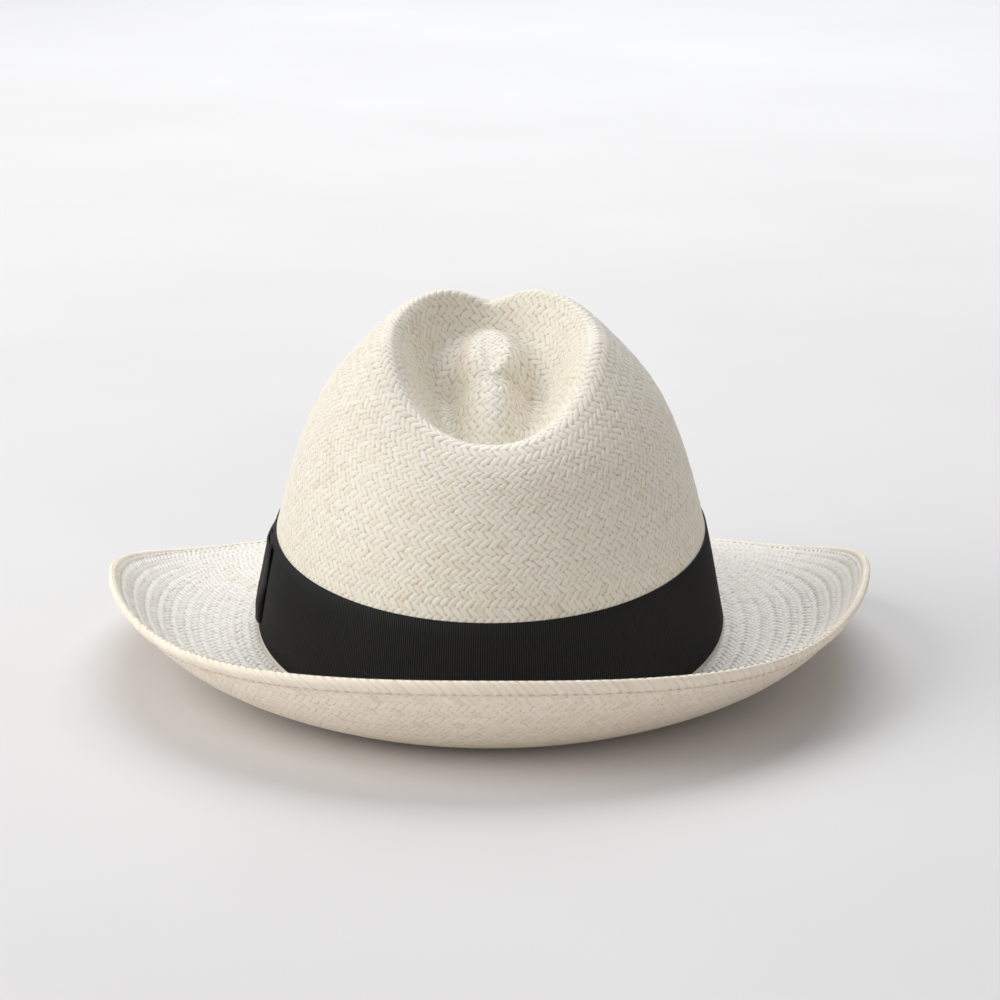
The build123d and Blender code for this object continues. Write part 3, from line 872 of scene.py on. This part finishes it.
def ribbon_strip(name, path, low, high, to_space, nodes):
    """A length of ribbon along a path, with ribs across it. low and high are its two edges."""
    ribs = max(4, round(smooth_path(path, 50)[1] / RIB))
    line, length = smooth_path(path, ribs * 4 + 1)
    along = np.gradient(line, axis=0)
    along = along / np.linalg.norm(along, axis=1, keepdims=True)
    across = np.stack([along[:, 1], -along[:, 0]], -1)
    rib = np.cos(np.arange(len(line)) / 4 * 2 * pi)
    edges = np.linspace(0, 1, 9)
    half = BOW_RIBBON / 2
    back = [(share, -half) for share in edges[::-2]]
    profile = [(share, half) for share in edges] + [(1.0, -half)] + back
    rows, marks = [], []
    for share, side in profile:
        offset = side + np.sign(side) * 0.05 * rib * (0.5 + 0.5 * sin(pi * share) ** 0.3)
        place = line + across * offset[:, None]
        rows.append(to_space(place, low + (high - low) * share))
        marks.append(rib)
    points = np.array(rows)
    faces = grid_faces(len(profile), len(line), closed_columns=False, closed_rows=True)
    points = points.reshape(-1, 3)
    faces = np.vstack([faces, end_caps(len(profile), len(line))])
    # rib: each rib's phase, which the ribbon material paints as a highlight on the crowns and shade between
    # them.
    piece = make_mesh(name, points, faces, ribbon_look, {"rib": np.array(marks).ravel()})
    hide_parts(*nodes)
    return piece


def face_strip(place, height):
    """Strip whose path runs in the a-o plane and whose width is up the crown's side."""
    return bow_space(place[:, 0], height * bow_height(place[:, 0]), place[:, 1])


def knot_strip(place, forward):
    """Strip whose path runs in the h-o plane and whose width is along the band."""
    return bow_space(np.full(len(place), forward), place[:, 0], place[:, 1])


def bow():
    """Two flattened loops on a flat tail, pinched in the middle by a narrow knot."""
    half_height = (BOW_HIGH - BOW_LOW) / 2
    ribbon_strip("bow_tail_ribbon", [(-14.0, 0.3), (-6, 0.3), (10, 0.3), (31.5, 0.3)],
                 -half_height + 1, half_height - 1, face_strip, ["bow_tail"])
    for end, way in (("rear", -1), ("front", 1)):
        inner = 0.3 if way < 0 else 0.78
        path = [(way * 1.2, 0.8), (way * 10, 0.8), (way * 18, inner), (way * 30, inner),
                (way * 33.8, inner + 0.05), (way * 34.7, inner + 0.3), (way * 34.0, inner + 0.6),
                (way * 30, inner + 0.8), (way * 22, inner + 1.0), (way * 12, 1.6), (way * 5, 1.5),
                (way * 1.2, 1.3)]
        ribbon_strip(f"bow_{end}_loop", path, -half_height, half_height, face_strip, [f"bow_loop_{end}"])
    reach = half_height * (1 - BOW_PINCH) + 0.7
    path = [(-reach + 3, 0.1), (-reach + 0.5, 0.25), (-reach, 0.8), (-reach + 1, 1.7), (-6, 1.95), (0, 2.0),
            (6, 1.95), (reach - 1, 1.7), (reach, 0.8), (reach - 0.5, 0.25), (reach - 3, 0.1)]
    ribbon_strip("bow_centre_knot", path, -KNOT_HALF, KNOT_HALF, knot_strip, ["bow_knot"])
    tubes = []
    for forward in (-3.6, 0.2, 3.7):
        for height in (-reach + 1.6, reach - 1.6):
            line = [bow_space(np.array([forward + 0.15 * step]), np.array([height + 0.35 * (step - 2)]),
                              np.array([2.1 - 0.12 * (step - 2) ** 2]))[0] for step in range(5)]
            tubes.append(tube(line, 0.2 * MM))
    join_tubes("bow_thread", tubes, black_thread_look, "black_thread", "bow_stitches")


TACK_AZIMUTHS, TACK_HEIGHT = (radians(153.0), radians(207.0)), 16.0


def band_tacks():
    """Two small crossed thread tacks, low on each rear quarter of the band."""
    tubes = []
    for turn in TACK_AZIMUTHS:
        for lean in (-0.5, 0.35, 0.9):
            line = []
            for step in np.linspace(-1, 1, 5):
                height = TACK_HEIGHT + step * 0.55 * lean
                azimuth = turn + step * 1.15 / 97
                out = CLEARANCE + RIBBON + 0.28 - 0.3 * step ** 2
                line.append(stand(side_radius(azimuth, height) + out, height, azimuth))
            tubes.append(tube(line, 0.2 * MM))
    join_tubes("band_thread_tacks", tubes, black_thread_look, "black_thread", "hatband_tacks")


# ---- Sweatband ----------------------------------------------------------------------------------
SWEAT_BOTTOM, SWEAT_TOP, SWEAT_THICKNESS = 3.2, 34.0, 0.9
TAPE_THICKNESS, TAPE_HALF = 0.5, radians(3.2)
CORD_RADIUS = 0.9


def inner_band(name, low, high, outer, thickness, start, end, columns, material, node):
    """A strip inside the crown between two azimuths, with rounded edges and closed ends."""
    azimuth = np.linspace(start, end, columns)
    levels = np.linspace(low, high, 9)
    inner = outer - thickness
    profile = [(level, inner) for level in levels] + [(high + 0.25, inner + thickness * 0.5)]
    profile += [(level, outer) for level in levels[::-2]] + [(low - 0.2, inner + thickness * 0.5)]
    rows = []
    for level, out in profile:
        wave = 0.12 * drift(azimuth, 31, (4, 7, 11)) * (level > high - 6)
        rows.append(stand(side_radius(azimuth, level) + out + wave, level + 0 * azimuth, azimuth))
    points = np.array(rows)
    count = len(profile)
    faces = np.vstack([grid_faces(count, columns, closed_columns=False, closed_rows=True),
                       end_caps(count, columns)])
    # rib 0 for the ribbed ribbon material: the tape shows one even tone, halfway between its painted rib
    # shade and highlight.
    piece = make_mesh(name, points.reshape(-1, 3), faces, material,
                      {"rib": np.zeros(points.shape[:2]).ravel()})
    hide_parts(node)


def sweat_band():
    """Leather strip, its covered cord, the stitches between them, and the tape at the back."""
    outer = -STRAW - CLEARANCE
    inner = outer - SWEAT_THICKNESS
    gap = radians(0.4)
    inner_band("sweatband_strip", SWEAT_BOTTOM, SWEAT_TOP, outer, SWEAT_THICKNESS, pi + gap, 3 * pi - gap,
               720, leather_look, "sweatband")
    inner_band("seam_tape", SWEAT_BOTTOM + 4, SWEAT_TOP - 1, inner - CLEARANCE, TAPE_THICKNESS,
               pi - TAPE_HALF, pi + TAPE_HALF, 24, tape_look, "sweatband_seam_tape")
    level = SWEAT_BOTTOM - 1.2
    middle_r = side_radius(DENSE, level) + outer - 0.7
    angle = np.arange(10) / 10 * 2 * pi
    rows_r = np.array([middle_r + CORD_RADIUS * cos(a) for a in angle])
    rows_h = np.array([level + CORD_RADIUS * sin(a) + 0 * DENSE for a in angle])
    ring, height, azimuth = evenly_round(rows_r, rows_h, 1500)
    twist = 0.05 * np.sin(np.arange(1500) / 1500 * 2 * pi * 250 + angle[:, None])
    ring = ring + twist * np.cos(angle)[:, None]
    height = height + twist * np.sin(angle)[:, None]
    piece = make_mesh("sweatband_cord", stand(ring, height, azimuth).reshape(-1, 3),
                      grid_faces(10, 1500, closed_rows=True), leather_look)
    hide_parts("sweatband_reed")
    level = SWEAT_BOTTOM + 2
    ring_stitches("sweatband_thread", side_radius(DENSE, level) + inner - 0.12, level + 0 * DENSE,
                  -np.ones_like(DENSE), 0 * DENSE, 190, 0.68, 0.22, cream_thread_look, "cream_thread",
                  "sweatband_stitching")


# ---- Build --------------------------------------------------------------------------------------
straw_crown()
straw_inside()
straw_brim()
brim_hem()
hem_stitches()
hat_band()
bow()
band_tacks()
sweat_band()


# ---- Stage, light and camera --------------------------------------------------------------------
def stage():
    """Wide pale floor."""
    rings, columns = [0.0, 1.0, 3.0, 8.0, 20.0], 64
    points = np.array([[size * cos(turn / columns * 2 * pi), size * sin(turn / columns * 2 * pi), 0]
                       for size in rings for turn in range(columns)])
    mesh = bpy.data.meshes.new("floor")
    mesh.from_pydata(points.tolist(), [], grid_faces(len(rings), columns).tolist())
    floor = new_object("floor", mesh)
    material, tree, surface = new_material("floor_plaster")
    place = object_place(tree)
    cloud = noise(tree, place, 3.0, 4.0, 0.55)
    shade = mixed(tree, ranged(tree, cloud, 0.3, 0.7, 0, 1), (0.66, 0.64, 0.63, 1), (0.70, 0.68, 0.67, 1))
    colour_by(tree, surface, shade)
    surface.inputs["Roughness"].default_value = 0.7
    mesh.materials.append(material)


def area_light(name, place, target, size, power, colour=(1, 1, 1)):
    light = bpy.data.lights.new(name, "AREA")
    light.shape = "DISK"
    light.size = size
    light.energy = power
    light.color = colour
    lamp = new_object(name, light)
    lamp.location = place
    lamp.rotation_euler = (Vector(target) - Vector(place)).to_track_quat("-Z", "Y").to_euler()


def lights():
    """A broad key from the left, a cool softbox above and behind, a low fill and a soft surround."""
    area_light("key", (-1.9, -0.35, 1.25), (0, 0, 0.05), 2.2, 41, (0.985, 0.98, 0.97))
    area_light("top", (0.1, 2.3, 2.3), (0, 1.2, 0), 2.6, 74, (0.93, 0.97, 1.0))
    area_light("fill", (0.5, -1.9, 0.35), (0, 0, 0.05), 1.2, 5.5, (1.0, 0.95, 0.90))
    world = bpy.data.worlds.new("studio")
    world.use_nodes = True
    world.node_tree.nodes["Background"].inputs[0].default_value = (0.96, 0.97, 1.0, 1)
    world.node_tree.nodes["Background"].inputs[1].default_value = 0.375
    bpy.context.scene.world = world
    bpy.context.scene.view_settings.view_transform = "Standard"


def camera():
    """Behind the hat, looking down at it a little, with the hat just below the picture's middle."""
    distance, elevation = 1.25, radians(23.44) - TILT
    lift, turn = radians(2.041), radians(0.1644)
    eye = Vector([part * MM for part in PLACE]) + Vector((0, -cos(elevation), sin(elevation))) * distance
    data = bpy.data.cameras.new("camera")
    data.sensor_width = 36.0
    data.lens = 119.2
    shot = new_object("camera", data)
    aim = Matrix.Rotation(-turn, 4, "Z") @ Matrix.Rotation(pi / 2 - elevation + lift, 4, "X")
    shot.matrix_world = Matrix.Translation(eye) @ aim
    bpy.context.scene.camera = shot


stage()
lights()
camera()
